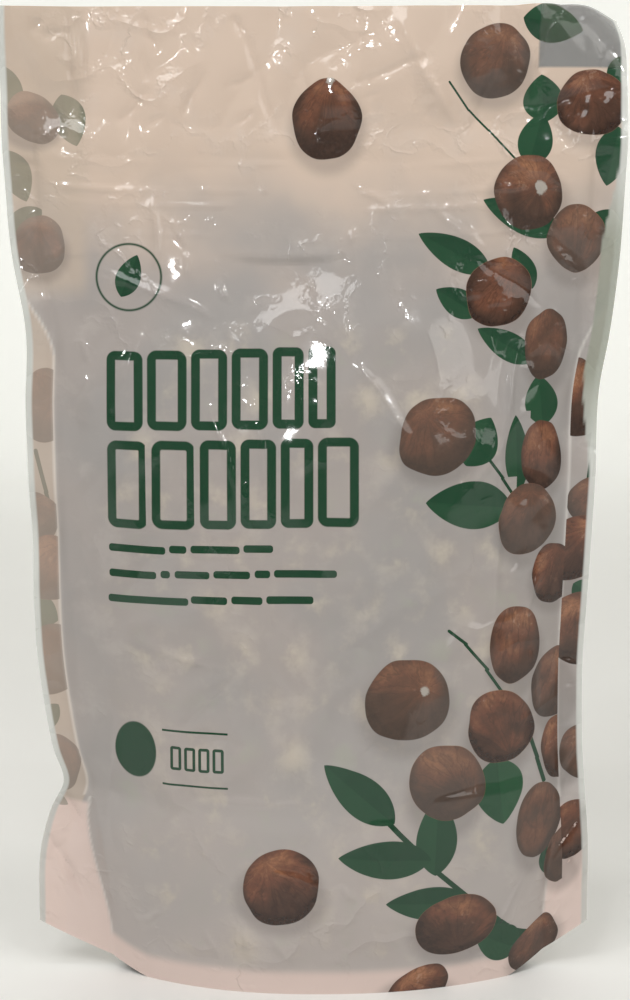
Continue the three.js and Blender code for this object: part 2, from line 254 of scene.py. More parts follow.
creases["shared"] += smallCreases(5, 40, headerAndSeals)
creases["front"] += smallCreases(6, 50, topAndSides)
creases["back"] += smallCreases(7, 50, topAndSides)


def filledX(u, v):
    # across the filled pouch, from across the flat film
    return u * np.where(u < 0, leftEdge(v), rightEdge(v)) / halfWidth


def sharedRelief(u, v):
    # how all the layers lie off the middle plane together, in the header and at the flat seals
    head = smoothStep(v, *bands["header"])
    seal = smoothStep(np.abs(u) - sealedFrom(u, v), -3, 2)
    loose = np.maximum(head, seal * smoothStep(v, *bands["looseFoot"]))
    x = filledX(u, v)
    relief = wavy(u, v, "header") * head + wavy(u, v, "loose") * loose
    relief -= np.abs(wavy(u, v, "headerDents")) * head
    relief += wavy(u, v, "seals") * seal * smoothStep(v, *bands["sealFoot"])
    for line in creases["shared"]:
        relief += crease(x, v, *line) * loose
    return relief


def bendCorner(x, y, z):
    # bends the top right corner back about a slanting line
    bend = pouch["bentCorner"]
    away = np.array(bend["away"], float)
    away /= np.linalg.norm(away)
    reach = (x - bend["through"][0]) * away[0] + (z - bend["through"][1]) * away[1]
    reach = np.maximum(reach, 0)
    turned = np.minimum(reach / bend["radius"], bend["angle"])
    straight = reach - turned * bend["radius"]
    slid = (bend["radius"] - y) * np.sin(turned) + straight * np.cos(turned) - reach
    bent = bend["radius"] - (bend["radius"] - y) * np.cos(turned) + straight * np.sin(turned)
    x = x + np.where(reach > 0, slid * away[0], 0)
    z = z + np.where(reach > 0, slid * away[1], 0)
    return x, np.where(reach > 0, bent, y), z


gussetLow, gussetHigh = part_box("base_gusset")
shift = np.array([gussetLow.x / mm + leftEdge(0), (gussetLow.y + gussetHigh.y) / 2 / mm, 0])


def settle(x, y, z):
    # carries points of the evenly wide pouch to where they lie in the filled one, in metres
    outward = np.abs(x) / halfWidth
    wave, lift = pouch["sealWave"], pouch["cornerLift"]
    waviness = wave["depth"] * smoothStep(z, 0, wave["from"]) * outward ** wave["power"]
    raised = beyond(outward, np.where(x < 0, *lift["from"])) ** lift["power"]
    y = y + waviness * np.sin(z / wave["stretch"] + np.where(x < 0, *wave["phase"])) + sharedRelief(x, z)
    moved = bendCorner(filledX(x, z), y, z + lift["height"] * raised * (1 - smoothStep(z, 0, lift["upTo"])))
    return np.stack(moved, -1) * mm + shift * mm


# The base gusset's form: a flat patch on the floor, rising to the fold at the side seals.
gusset = {
    "flatAlong": 0.33,
    "flatAcross": 0.34,
    "foldPower": 2.2,
    "spanPower": 1.6,
    "seamPower": 8,
    "lowest": 0.3,
    "skirt": 0.22,  # share of the rows on each skirt
    "sag": 0.15,
    "columns": 140,
    "rows": 96,
}


def seamHeight(along):
    return pouch["baseSeal"] + (pouch["gussetFold"] - pouch["baseSeal"]) * along ** gusset["seamPower"]


def foldHeight(along):
    rise = beyond(along, gusset["flatAlong"]) ** gusset["foldPower"]
    return gusset["lowest"] + (pouch["gussetFold"] - gusset["lowest"]) * rise


def gussetHeight(along, across):
    rise = beyond(np.minimum(1, np.abs(across)), gusset["flatAcross"]) ** gusset["spanPower"]
    return foldHeight(along) + (seamHeight(along) - foldHeight(along)) * rise


# Where the kernels lie: files of rows against the front film, the back film and between them. A file is
# the shift of its first kernel in pitches, its side and the depth that it needs.
kernels = {
    "radius": 7,
    "pitch": 12.9,
    "rise": 12.8,
    "firstRow": 12.5,
    "clearance": 0.6,
    "size": (0.90, 0.99),  # shares of the radius
    "squeeze": (0.9, 1),
    "sideShare": 0.6,  # of the radius, out to where the gusset under a kernel is felt
    "outerShare": 0.4,
    "mostEachWay": 8,
    "files": {"front": (0, -1, 0), "back": (0.25, 1, 7.1), "middle": (0.5, 0, 14.2)},
}


def kernelDepth(u, v):
    # how far out a kernel can lie where the film slopes
    slopeU = innerDepth(u + 0.5, v) - innerDepth(u - 0.5, v)
    slopeV = innerDepth(u, v + 0.5) - innerDepth(u, v - 0.5)
    return innerDepth(u, v) - (kernels["radius"] + kernels["clearance"]) * np.sqrt(1 + slopeU**2 + slopeV**2)


def kernelRow(fileName, row):
    # the u, v and centre of each kernel of a row, a pitch apart from the first one outwards
    first, side, needs = kernels["files"][fileName]
    v = kernels["firstRow"] + row * kernels["rise"]
    start = (first + (row % 2) / 2 - 0.5) * kernels["pitch"]
    found = []
    for direction in (-1, 1):
        u = start + direction * np.arange(0, 70, 0.1)
        depth = kernelDepth(u, v)
        along = np.minimum(1, (np.abs(u) + kernels["radius"] * kernels["sideShare"]) / sealLine)
        across = side * (depth + kernels["radius"] * kernels["outerShare"]) / innerDepth(u, v)
        floor = gussetHeight(along, across)
        fits = (depth >= needs) & (v >= floor + kernels["clearance"] + kernels["radius"])
        centres = settle(u, side * depth, np.full_like(u, v))
        walked = np.concatenate([[0], np.cumsum(np.linalg.norm(np.diff(centres, axis=0), axis=1))]) / mm
        for index in range(0 if direction < 0 else 1, kernels["mostEachWay"]):
            here = int(np.searchsorted(walked, index * kernels["pitch"]))
            if here >= len(u) or not fits[here]:
                break
            found.append((float(u[here]), v, centres[here]))
    return sorted(found, key=lambda kernel: kernel[0])


kernelPlaces = {}
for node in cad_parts:
    if node.startswith("kernels_"):
        _, fileName, _, number = node.split("_")
        kernelPlaces[node] = kernelRow(fileName, int(number) - 1)
print("kernels placed:", sum(len(row) for row in kernelPlaces.values()))


# The zip: a strip with one rib at the front and a strip with two lips at the back. Ridges are from and to,
# across the zip. Under the film they show as marks, each a height from the zip's middle and a depth.
zipParts = {
    "reach": 67,
    "flange": 0.25,
    "gap": 0.5,
    "slices": 60,
    "zipRibStrip": {"node": "zip_rib_strip", "side": -1, "ridges": [(-0.35, 0.35)], "height": 2.35},
    "zipGrooveStrip": {
        "node": "zip_groove_strip",
        "side": 1,
        "ridges": [(-1.7, -0.8), (0.8, 1.7)],
        "height": 1.65,
    },
    "marks": ((-1.8, 0.4), (1.9, 0.45), (9, 0.25), (-9, 0.2)),
    "markWidth": 0.75,
    "markWander": 0.4,
    "markReach": 69,
}


def zipSag(u):
    # the zip hangs a little lower in the middle
    return pouch["zipSag"] * (1 - (u / sealLine) ** 2)


def kernelsBehind(name):
    # the u and v of each kernel that lies against a film
    return [place[:2] for node, row in kernelPlaces.items() if name in node for place in row]


def zipMarks(u, v, seed):
    marks = 0
    for ridge, height in zipParts["marks"]:
        off = v - pouch["zipHeight"] - ridge + zipSag(u) - zipParts["markWander"] * np.sin(u / 13 + seed)
        uneven = 0.7 + 0.4 * np.sin(u / 9 + ridge)
        inside = 1 - np.minimum(1, np.abs(u) / zipParts["markReach"]) ** 20
        marks = marks + uneven * height * np.exp(-((off / zipParts["markWidth"]) ** 2)) * inside
    return marks


def filmRelief(u, v, name):
    # how one film stands away from the filled form, outwards
    seed = filmSeeds[name]
    x = filledX(u, v)
    full = fullness(u, v)
    belowTop = 1 - smoothStep(v, *bands["bodyTop"])
    body = smoothStep(full, 0, 0.3) * smoothStep(v, *bands["bodyFoot"]) * belowTop
    relief = wavy(u, v, "swell", seed) + wavy(u, v, "crinkle", seed) - np.abs(wavy(u, v, "dents", seed))
    relief += np.abs(wavy(u, v, "sidePleats", seed)) * (1 - smoothStep(full, 0.1, 0.6))
    for line in creases[name]:
        relief += crease(x, v, *line)
    for kernelU, kernelV in kernelsBehind(name):
        height = press["least"] + press["spread"] * math.sin(kernelU * 5.1 + kernelV * 2.3)
        relief += height * np.exp(-(((u - kernelU) ** 2 + (v - kernelV) ** 2) / press["radius"] ** 2))
    relief = relief * body + zipMarks(u, v, seed)
    # it may dent inwards only where it is clear of the gusset and of the zip
    overZip = smoothStep(v, *bands["zipFrom"]) * (1 - smoothStep(v, *bands["zipTo"]))
    tight = np.maximum(1 - smoothStep(v, *bands["gussetClear"]), overZip)
    return np.maximum(relief, -0.15 - 9 * (1 - tight))


# Shader nodes, written as maths.
class Socket:
    def __init__(self, paint, output):
        self.paint = paint
        self.output = output

    def __add__(self, other):
        return self.paint.maths("ADD", self, other)

    def __radd__(self, other):
        return self.paint.maths("ADD", other, self)

    def __sub__(self, other):
        return self.paint.maths("SUBTRACT", self, other)

    def __rsub__(self, other):
        return self.paint.maths("SUBTRACT", other, self)

    def __mul__(self, other):
        return self.paint.maths("MULTIPLY", self, other)

    def __rmul__(self, other):
        return self.paint.maths("MULTIPLY", other, self)

    def __truediv__(self, other):
        return self.paint.maths("DIVIDE", self, other)

    def __pow__(self, other):
        return self.paint.maths("POWER", self, other)


class Paint:
    def __init__(self, name):
        self.material = bpy.data.materials.new(name)
        self.material.use_nodes = True
        self.tree = self.material.node_tree
        self.tree.nodes.clear()

    def plug(self, socket, value):
        if isinstance(value, Socket):
            self.tree.links.new(value.output, socket)
        elif isinstance(value, (tuple, list)) and len(value) == 3 and socket.type == "RGBA":
            socket.default_value = (*value, 1)
        else:
            socket.default_value = value

    def node(self, kind, settings=None, inputs=None, output=0):
        made = self.tree.nodes.new("ShaderNode" + kind)
        for key, value in (settings or {}).items():
            if key == "stops":
                ramp = made.color_ramp
                while len(ramp.elements) < len(value):
                    ramp.elements.new(0.5)
                for element, (place, colour) in zip(ramp.elements, value):
                    element.position = place
                    element.color = (*colour, 1)
            else:
                setattr(made, key, value)
        for key, value in (inputs or {}).items():
            self.plug(made.inputs[key], value)
        return Socket(self, made.outputs[output])

    def maths(self, operation, *values):
        return self.node("Math", {"operation": operation}, dict(enumerate(values)))

    def largest(self, first, *others):
        for other in others:
            first = self.maths("MAXIMUM", first, other)
        return first

    def size(self, value):
        return self.maths("ABSOLUTE", value)

    def length(self, x, y):
        return self.maths("SQRT", x * x + y * y)

    def mix(self, factor, first, second):
        return self.node("Mix", {"data_type": "RGBA"}, {0: factor, 6: first, 7: second}, 2)

    def choose(self, mask, first, second):
        return self.node("Mix", {"data_type": "VECTOR"}, {0: mask, 4: first, 5: second}, 1)

    def step(self, value, low, high, fromValue=0.0, toValue=1.0):
        # a smooth change from one value to another as value goes from low to high
        inputs = {"Value": value, "From Min": low, "From Max": high, "To Min": fromValue, "To Max": toValue}
        return self.node("MapRange", {"interpolation_type": "SMOOTHSTEP"}, inputs)

    def attribute(self, name, output="Vector"):
        return self.node("Attribute", {"attribute_name": name}, None, output)

    def objectPlace(self):
        return self.node("TexCoord", output="Object")

    def split(self, vector):
        parts = self.node("SeparateXYZ", None, {0: vector}).output.node
        return [Socket(self, output) for output in parts.outputs]

    def join(self, x, y, z=0.0):
        return self.node("CombineXYZ", None, {0: x, 1: y, 2: z})

    def noise(self, place, scale, detail=2.0, roughness=0.5):
        inputs = {"Vector": place, "Scale": scale, "Detail": detail, "Roughness": roughness}
        return self.node("TexNoise", None, inputs)

    def bump(self, height, strength, distance):
        return self.node("Bump", None, {"Strength": strength, "Distance": distance, "Height": height})

    def finish(self, **sockets):
        shader = self.tree.nodes.new("ShaderNodeBsdfPrincipled")
        for key, value in sockets.items():
            self.plug(shader.inputs[key.replace("_", " ")], value)
        out = self.tree.nodes.new("ShaderNodeOutputMaterial")
        self.tree.links.new(shader.outputs[0], out.inputs[0])
        return self.material


# Colours of the film and of what is printed on it, and of a painted highlight along the film's edges.
inks = {
    "leaf": (0.010, 0.048, 0.023),
    "leafLight": (0.024, 0.085, 0.040),
    "nutDeep": (0.028, 0.014, 0.010),
    "nutDark": (0.072, 0.034, 0.022),
    "nutMid": (0.165, 0.064, 0.036),
    "nutLight": (0.350, 0.155, 0.078),
    "nutPale": (0.420, 0.330, 0.260),
    "nutDust": (0.155, 0.125, 0.105),
    "tip": (0.430, 0.410, 0.370),
    "head": (0.640, 0.510, 0.420),
    "side": (0.560, 0.455, 0.370),
    # the film over the filled part: partly the brown kernels seen through it, partly painted shade of the
    # pouch's inside
    "body": (0.395, 0.355, 0.335),
    "bodyLow": (0.62, 0.55, 0.52),
    "bodyPatch": (0.62, 0.56, 0.52),
    "cool": (0.320, 0.315, 0.312),
    "warm": (0.620, 0.540, 0.420),
    "green": (0.400, 0.430, 0.330),
    # a painted highlight: the light line along the seal edges and side folds
    "seam": (0.80, 0.76, 0.72),
    "seal": (0.750, 0.600, 0.545),
    "rim": (0.640, 0.650, 0.620),
    "rimShade": (0.330, 0.350, 0.290),
    "clearCorner": (0.235, 0.245, 0.250),
    "shade": (0.17, 0.15, 0.14),
}
nutLayers = ["nutsA", "nutsB", "nutsC"]
leafLayers = ["leavesA", "leavesB"]
barLayers = ["barsA", "barsB"]
filmMarks = ("shade", "touch", "sealed", "rim", "rimShade", "clearCorner", "fade", "seam")


def coveringNut(paint):
    # where any printed nut is, and the coordinates and form of the one on top
    mask, place, form = None, None, None
    for layer in nutLayers:
        here, formHere = paint.attribute(layer), paint.attribute(layer + "More")
        x, y, _ = paint.split(here)
        seed, point, _ = paint.split(formHere)
        narrow = x * (1 + point * paint.largest(y, 0.0) ** 2)
        radius = paint.length(narrow, y)
        around = paint.join(narrow / (radius + 0.001), y / (radius + 0.001), seed)
        lumps = paint.noise(around, 0.8, 1.0)
        inside = paint.step(radius + (lumps - 0.5) * 0.34, 1.0, 0.98)
        if mask is None:
            mask, place, form = inside, here, formHere
        else:
            place = paint.choose(inside, place, here)
            form = paint.choose(inside, form, formHere)
            mask = paint.largest(mask, inside)
    return mask, place, form


def nutSkin(paint, place, form):
    # a nut's skin: ribs and threads that run from its tip, clouds, grooves, dust and the pale tip
    x, y, up = paint.split(place)
    seed, _, tipY = paint.split(form)
    spot = paint.join(x, y, seed)
    clouds = paint.noise(spot, 1.5, 4.0, 0.6)
    grain = paint.noise(spot, 9.0, 4.0, 0.65)
    lobes = paint.noise(spot, 0.9, 1.5)
    down = tipY - y + (clouds - 0.5) * 0.5
    angle = paint.maths("ARCTAN2", x + (grain - 0.5) * 0.08, down)
    fromTip = paint.length(x, down)
    ribs = paint.noise(paint.join(angle * 3.0, fromTip * 0.6, seed), 1.0, 3.0, 0.55)
    threads = paint.noise(paint.join(angle * 15.0, fromTip * 1.6, seed + 3.0), 1.0, 3.0, 0.7)
    edge = paint.length(x, y)
    light = up * 0.42 + 0.43 + (ribs - 0.5) * 0.55 + (clouds - 0.5) * 0.7 + (lobes - 0.5) * 1.1 - x * 0.10
    light = light + (threads - 0.5) * 0.16 - paint.step(edge, 0.70, 1.05) * 0.40
    stops = [(0.0, inks["nutDeep"]), (0.3, inks["nutDark"]), (0.62, inks["nutMid"]), (1.0, inks["nutLight"])]
    colour = paint.node("ValToRGB", {"stops": stops}, {0: light})
    colour = paint.mix(paint.step(grain, 0.62, 0.35) * 0.35, colour, inks["nutDark"])
    scuff = paint.step(clouds + (grain - 0.5) * 0.6, 0.62, 0.78) * paint.step(up, -0.6, 0.5)
    colour = paint.mix(scuff * 0.30, colour, inks["nutPale"])
    groove = paint.step(paint.size(ribs - 0.5), 0.035, 0.0) * paint.step(fromTip, 0.1, 0.5)
    colour = paint.mix(groove * 0.35, colour, inks["nutDeep"])
    dusty = paint.step(paint.maths("FRACT", paint.size(seed) * 0.37), 0.2, 0.8)
    colour = paint.mix(dusty * 0.32, colour, inks["nutDust"])
    ragged = fromTip + (clouds - 0.5) * 0.5 + (grain - 0.5) * 0.15
    tip = paint.step(ragged, 0.17, 0.09) * paint.step(seed, 0.0, 0.5)
    return paint.mix(tip * 0.8, colour, inks["tip"])


def printedLeaves(paint):
    mask, colour = None, None
    for layer in leafLayers:
        x, y, tone = paint.split(paint.attribute(layer))
        half = paint.largest(1 - x * x, 0.0) ** 0.8 * (1 - 0.22 * x)
        inside = paint.step(half - paint.size(y), 0.0, 0.03)
        side = paint.step(y + 0.05 * x, -0.02, 0.02)
        here = paint.mix(side * 0.3 + tone * 0.5, inks["leaf"], inks["leafLight"])
        here = paint.mix(paint.step(paint.size(y), 0.05, 0.02) * 0.25, here, inks["leaf"])
        mask = inside if mask is None else paint.largest(mask, inside)
        colour = here if colour is None else paint.mix(inside, colour, here)
    return mask, colour


def printedBars(paint):
    # stems, ring, rules and plain blocks: bars with round corners, filled or outlined
    mask = None
    for layer in barLayers:
        x, y, length = paint.split(paint.attribute(layer))
        corner, stroke, _ = paint.split(paint.attribute(layer + "Form"))
        offX = paint.size(x) - length + corner
        offY = paint.size(y) - 1.0 + corner
        outside = paint.length(paint.largest(offX, 0.0), paint.largest(offY, 0.0))
        off = outside + paint.maths("MINIMUM", paint.largest(offX, offY), 0.0) - corner
        inside = paint.step(off, 0.0, -0.06) * paint.step(off + stroke, -0.06, 0.0)
        mask = inside if mask is None else paint.largest(mask, inside)
    return mask


def bareFilm(paint, v, cloud, patch, marks):
    # paler in the header and low down, with warm and green patches where kernels touch it; darker over the
    # filled part, partly the kernels seen through the film and partly painted shade of the pouch's inside
    # darker grey over the filled part: partly the kernels seen through the film, partly painted shade
    filled = paint.step(v + (cloud - 0.5) * 40, 216, 178)
    base = paint.mix(filled, inks["head"], inks["body"])
    base = paint.mix(paint.step(cloud, 0.62, 0.36) * filled * 0.5, base, inks["cool"])
    base = paint.mix(paint.step(v, 90, 8) * 0.38, base, inks["bodyLow"])
    base = paint.mix(marks["touch"] * paint.step(patch, 0.46, 0.66) * 0.5, base, inks["warm"])
    base = paint.mix(paint.step(patch, 0.46, 0.34) * marks["touch"] * 0.28, base, inks["green"])
    base = paint.mix(paint.step(patch, 0.50, 0.70) * 0.16, base, inks["bodyPatch"])
    base = paint.mix(marks["fade"] * 0.7, base, inks["side"])
    # a painted highlight along the seal edges and side folds
    base = paint.mix(marks["seam"] * 0.5, base, inks["seam"])
    base = paint.mix(marks["sealed"], base, inks["seal"])
    base = paint.mix(marks["clearCorner"], base, inks["clearCorner"])
    return paint.mix(marks["shade"] * 0.40, base, inks["shade"])


def fineCreases(paint, place, v, cloud, patch):
    # creases too fine for the mesh, stronger in the header and low down
    shift = paint.join(patch, cloud)
    bent = paint.node("VectorMath", {"operation": "MULTIPLY_ADD"}, {0: shift, 1: (16, 16, 0), 2: place})
    ridges = 1 - paint.size(paint.noise(bent, 0.045, 1.0) - 0.5) * 14.0
    veins = 1 - paint.size(paint.noise(bent, 0.12, 1.0) - 0.5) * 12.0
    crest = paint.largest(ridges, 0.0) ** 1.5 * paint.step(cloud, 0.44, 0.60)
    fine = paint.largest(veins, 0.0) ** 1.5 * paint.step(patch, 0.50, 0.66)
    strength = paint.largest(paint.step(v, 150, 200, 0.35, 1.0), paint.step(v, 60, 10, 0.35, 0.8))
    return (crest * 0.7 + fine * 0.45) * strength


def filmInk():
    paint = Paint("printedFilm")
    place = paint.attribute("filmPlace")
    _, v, _ = paint.split(place)
    marks = {name: paint.attribute(name, "Fac") for name in filmMarks}
    cloud = paint.noise(place, 0.028, 3.0)
    patch = paint.noise(place, 0.075, 4.0, 0.6)
    speck = paint.noise(place, 0.3, 3.0, 0.6)
    base = bareFilm(paint, v, cloud, patch, marks)
    leafMask, leafColour = printedLeaves(paint)
    nutMask, nutPlace, nutForm = coveringNut(paint)
    barMask = printedBars(paint)
    colour = paint.mix(barMask, base, inks["leaf"])
    colour = paint.mix(leafMask, colour, leafColour)
    colour = paint.mix(nutMask, colour, nutSkin(paint, nutPlace, nutForm))
    colour = paint.mix(marks["fade"], colour, paint.mix(0.5, colour, base))
    colour = paint.mix(marks["rim"], colour, paint.mix(marks["rimShade"], inks["rim"], inks["rimShade"]))
    ink = paint.largest(nutMask, leafMask, barMask)
    clear = paint.largest(marks["rim"], marks["clearCorner"])
    alpha = paint.step(ink, 0.0, 1.0, 0.90, 0.985) - clear * 0.2
    height = fineCreases(paint, place, v, cloud, patch) + speck * 0.04
    gloss = paint.step(speck, 0.35, 0.7, 0.04, 0.10)
    bump = paint.bump(height, 0.8, 0.0006)
    return paint.finish(Base_Color=colour, Roughness=gloss, Alpha=alpha, Normal=bump, IOR=1.5)


# The layout of the print. Nuts are a centre, half sizes, how far the tip is turned from up and their kind,
# which is how pointed the nut is, how far up its tip is and whether the tip's pale spot shows.
paleTip, roundTip, sideTip = (0, 0.42, 1), (0, 0.8, 0), (0.55, 0.97, 1)
darkPoint, longTip = (0.5, 0.9, 0), (0, 2.3, 0)
# The side folds run out to the edges below the zip, and the filled film is drawn in there.
sideFolds = {"at": 72.5, "runOut": 9, "from": 162, "upTo": 188}
drawnIn = {"share": 0.94, "eased": 0.085, "from": 190, "to": 197}


def foldAt(v):
    return sideFolds["at"] + sideFolds["runOut"] * smoothStep(v, sideFolds["from"], sideFolds["upTo"])


def drawIn(v):
    return drawnIn["share"] + drawnIn["eased"] * smoothStep(v, drawnIn["from"], drawnIn["to"])


frontPrint = {
    "nuts": [
        ((3, 224), (8.8, 10.5), 3, sideTip), ((44.5, 238.5), (8.8, 9.2), 20, roundTip),
        ((69, 228), (9.4, 8.5), -15, roundTip), ((53, 205.5), (9.4, 8.7), 70, paleTip),
        ((68, 193.5), (7.6, 9.2), 182, darkPoint), ((50, 180), (8.3, 9.4), 30, roundTip),
        ((63, 167), (5.6, 9.4), 8, longTip), ((33, 144.5), (10.9, 9.5), -30, roundTip),
        ((62, 138.5), (5.4, 9.4), 0, longTip), ((58, 122), (7.8, 9.4), 10, roundTip),
        ((66, 107.5), (6.2, 8), 8, roundTip), ((55, 89.5), (7, 10.5), 4, longTip),
        ((25, 77.5), (11.2, 11), 62, paleTip), ((51, 68.5), (8.8, 10.5), 160, roundTip),
        ((66.5, 77.5), (6.2, 9.6), 8, longTip), ((36, 55.5), (9.6, 11), 130, roundTip),
        ((69, 60), (5.6, 9.4), 0, longTip), ((62.5, 40), (6.2, 11), 6, longTip),
        ((-9.5, 29.5), (10.6, 10), -30, roundTip), ((39, 17), (10.9, 8.2), 178, roundTip),
        ((70, 26), (5, 9), 5, longTip), ((28, -0.5), (9.6, 6.2), -40, roundTip),
        ((62, 4), (7, 6.4), 24, darkPoint),
        ((-70, 224), (7.4, 6), 40, roundTip), ((-74, 192), (7, 7.4), 0, roundTip),
    ],
    # leaves run from stalk to point, with their half width and tone
    "leaves": [
        ((51, 249), (66, 245.5), 4.6, 0.1), ((57, 223), (56, 235), 5.2, 0.6),
        ((53, 212), (56.5, 225.5), 4.4, 0.3), ((61.5, 195), (41.5, 203.5), 4.2, 0.1),
        ((47, 185.5), (28.5, 195), 4.0, 0.1), ((44, 174.5), (33, 181), 3.6, 0.1),
        ((59.5, 162.5), (44.5, 171), 3.6, 0.2), ((59, 181), (54, 191.5), 3.0, 0.2),
        ((62.5, 146), (61, 159), 4.4, 0.6), ((41, 136.5), (47.5, 148.5), 5.4, 0.4),
        ((55.5, 129), (54.6, 149), 3.2, 0.3), ((53, 125.5), (30.5, 127.5), 6.2, 0.2),
        ((50, 60), (52, 42.5), 6.6, 1.0), ((21, 46), (3, 61.5), 5.2, 0.1),
        ((31, 35.5), (7, 37.5), 5.2, 0.1), ((33, 31), (33.5, 52), 5.4, 0.3),
        ((43, 22.5), (20, 24.5), 4.6, 0.2), ((57, 7), (45, 13.5), 5.0, 0.4),
        ((75, 201), (69.5, 190), 4.6, 0.3), ((75, 222), (72.5, 207), 4.4, 0.3),
        ((77, 240), (74, 230), 3.4, 0.3), ((67, 32), (66, 21), 3.4, 0.4),
        ((-77, 237), (-74, 222), 3.4, 0.4), ((-63, 230), (-59, 217), 4.4, 0.6),
        ((-77, 216), (-72, 203), 4.0, 0.3), ((-68, 201), (-79, 194), 3.4, 0.4),
    ],
    # stems run through their points, with their width
    "stems": [
        ([(33, 233), (38, 226), (43, 221), (50, 213.5)], 0.55),
        ([(36.5, 94.5), (41, 91), (47, 84), (56, 71)], 0.8), ([(59, 67), (62, 58), (64, 51)], 1.1),
        ([(20, 46.5), (30, 35.5), (44, 22), (55, 12)], 1.4), ([(44, 22), (55, 12), (63, 5)], 2.4),
        ([(46.5, 139), (51, 133), (55, 127)], 0.8),
    ],
    # what shows beyond the side folds
    "side nuts": [
        ((72, 153), (7, 10), 0, roundTip), ((77, 126), (7, 6.4), 0, roundTip),
        ((72, 113.5), (7.6, 9.6), 40, roundTip), ((74, 92), (9, 9.4), 0, roundTip),
        ((76, 58), (7, 9), 0, roundTip), ((73, 33), (7, 10), 0, longTip),
        ((-74, 151), (8, 10), 0, longTip), ((-78, 121), (7, 7), 0, roundTip),
        ((-74, 108), (8, 8.8), 30, roundTip), ((-73, 84), (8, 9.4), 0, longTip),
        ((-74, 54), (8, 11), 10, longTip),
    ],
    "side leaves": [
        ((72, 104), (79, 99), 3.6, 0.5),
        ((-80, 98), (-72, 94), 4.4, 0.9), ((-72, 72), (-79, 64), 3.0, 0.4),
        ((-78, 44), (-70, 40), 2.6, 0.5),
    ],
    "side stems": [
        ([(77, 146), (75.5, 132), (72.5, 120)], 1.3),
        ([(-77, 139), (-74.5, 128), (-72.5, 119)], 1.1),
    ],
    # a ring, blocks and bars, all plain
    "ring": ((-50.5, 184), 8.9, 0.55),
    "blocks": [
        ((-56.5, 145), (11.2, 12, 11, 11, 9.6, 8.6), 20.5),
        ((-56.5, 120), (12.4, 13.2, 11, 10.8, 10, 12.2), 22.8),
    ],
    "lines": [
        (-56, 115, (15, 4.5, 12.6, 7.6)),
        (-56, 108.5, (12.5, 2.5, 9, 9.4, 4, 16)),
        (-56, 102, (21, 9.4, 8, 12)),
    ],
    "oval": ((-49.4, 62.5), (5.7, 7.8)),
    "rules": [(-41, 68.8, 16.5), (-41, 54.6, 16.5)],
    "smallBlocks": ((-39.5, 61.7), (3.0, 3.0, 3.0, 3.0), 6.4),
    "tilt": 0.028,
}
backPrint = {
    "nuts": [
        ((-66, 226), (8.8, 9.2), 20, roundTip), ((-52, 210), (8.4, 8.8), 140, roundTip),
        ((-69, 178), (6.4, 9.4), 0, longTip), ((-63, 152), (8, 9.4), 60, roundTip),
        ((-70, 130), (5, 9.4), 0, longTip), ((-58, 96), (8.8, 9.2), -30, roundTip),
        ((-68, 70), (6, 9.2), 0, longTip), ((-52, 44), (9.6, 9.6), 100, roundTip),
        ((-22, 26), (10.4, 9.6), 30, roundTip), ((-64, 18), (8, 9), 170, roundTip),
        ((64, 232), (8.6, 9), -50, roundTip), ((70, 190), (6, 9.4), 0, longTip),
        ((66, 40), (8.6, 9.2), 20, roundTip), ((30, 14), (9.6, 8.4), 200, roundTip),
    ],
    "leaves": [
        ((-58, 220), (-40, 228), 4.6, 0.2), ((-60, 196), (-44, 188), 4.6, 0.2),
        ((-66, 166), (-52, 172), 4.2, 0.4), ((-62, 118), (-44, 124), 5.0, 0.2),
        ((-66, 84), (-50, 78), 4.6, 0.3), ((-44, 36), (-26, 46), 4.8, 0.2),
        ((-34, 14), (-48, 24), 4.2, 0.5), ((58, 222), (46, 210), 4.4, 0.3),
        ((64, 56), (54, 68), 4.4, 0.3), ((44, 12), (58, 22), 4.2, 0.2),
    ],
    "stems": [
        ([(-60, 112), (-64, 98), (-62, 84)], 1.0), ([(-56, 34), (-40, 26), (-28, 14)], 1.1),
        ([(-60, 200), (-64, 188), (-66, 170)], 1.0), ([(60, 30), (50, 18), (40, 12)], 1.0),
    ],
    "side nuts": [
        ((76, 150), (9, 9.6), 0, roundTip), ((-77, 120), (9, 9.6), 0, roundTip),
        ((77, 96), (8, 9), 20, longTip), ((-78, 60), (8, 10), 0, longTip),
        ((78, 50), (8, 9), 0, roundTip),
    ],
    "side leaves": [((74, 128), (80, 120), 3.6, 0.5), ((-78, 150), (-72, 142), 4.0, 0.4)],
    "side stems": [],
    "ring": ((52, 176), 7, 0.5),
    "blocks": [((-34, 178), (7.4, 8.2, 7, 7, 6.4, 5.8), 11)],
    "lines": [
        *[
            (-34, 162 - 6 * line, [6 + (line * 7 + bar * 5) % 11 for bar in range(4 - line % 2)])
            for line in range(6)
        ],
        *[(8, 116 - 6 * line, (18, 10 + line % 3 * 3)) for line in range(9)],
        *[(-34, 116 - 6 * line, (9 + line % 2 * 4, 8, 6)) for line in range(7)],
    ],
    "oval": ((52, 150), (5.2, 7)),
    "rules": [(6, 120 - 6 * line, 46) for line in range(11)],
    "smallBlocks": ((-32, 66), (1, 0.5, 1.4, 0.5, 0.9, 1.8, 0.5, 1, 0.6, 1.6, 0.5, 1.2, 0.9, 0.5, 1.4), 12),
    "tilt": 0.0,
}


def pointValues(mesh, name, values):
    made = mesh.attributes.new(name, "FLOAT", "POINT")
    made.data.foreach_set("value", np.asarray(values, np.float32).ravel())


def vectorValues(mesh, name, values, domain="POINT"):
    made = mesh.attributes.new(name, "FLOAT_VECTOR", domain)
    made.data.foreach_set("vector", np.asarray(values, np.float32).ravel())


